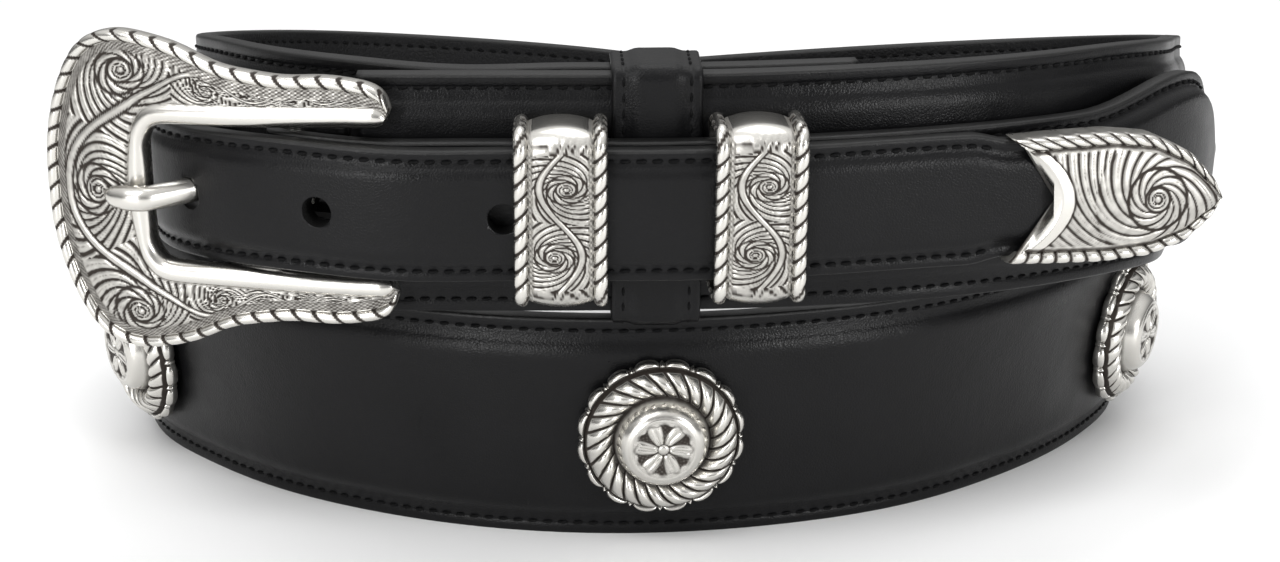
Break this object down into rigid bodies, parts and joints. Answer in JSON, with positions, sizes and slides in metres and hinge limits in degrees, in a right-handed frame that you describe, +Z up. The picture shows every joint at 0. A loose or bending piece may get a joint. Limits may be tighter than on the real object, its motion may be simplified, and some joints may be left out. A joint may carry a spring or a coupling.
{
  "type": "ranger belt",
  "caption": "Black leather ranger belt with round silver conchos, buckled and laid as a coil of two turns, with cast buckle, keepers and strap tip.",
  "frame": {"origin": "under the middle of the coiled belt, on the face it rests on", "axes": "+Z up, the buckle and the tip face -Y, the tip points to +X"},
  "size_m": [0.1788, 0.1556, 0.0769],
  "materials": {
    "black_leather": "black top-grain leather, satin gloss, black thread",
    "antique_silver": "antiqued silver plate, polished raised parts, dark recesses"
  },
  "bodies": {
    "root": {"belt_body": "black_leather", "buckle_strap": "black_leather", "hole_strap": "black_leather", "leather_loop": "black_leather", "buckle": "antique_silver", "tongue": "antique_silver", "keeper_left": "antique_silver", "keeper_right": "antique_silver", "strap_tip": "antique_silver", "concho_1": "antique_silver", "concho_2": "antique_silver", "concho_3": "antique_silver", "concho_4": "antique_silver", "concho_5": "antique_silver", "concho_6": "antique_silver"}
  },
  "joints": []
}
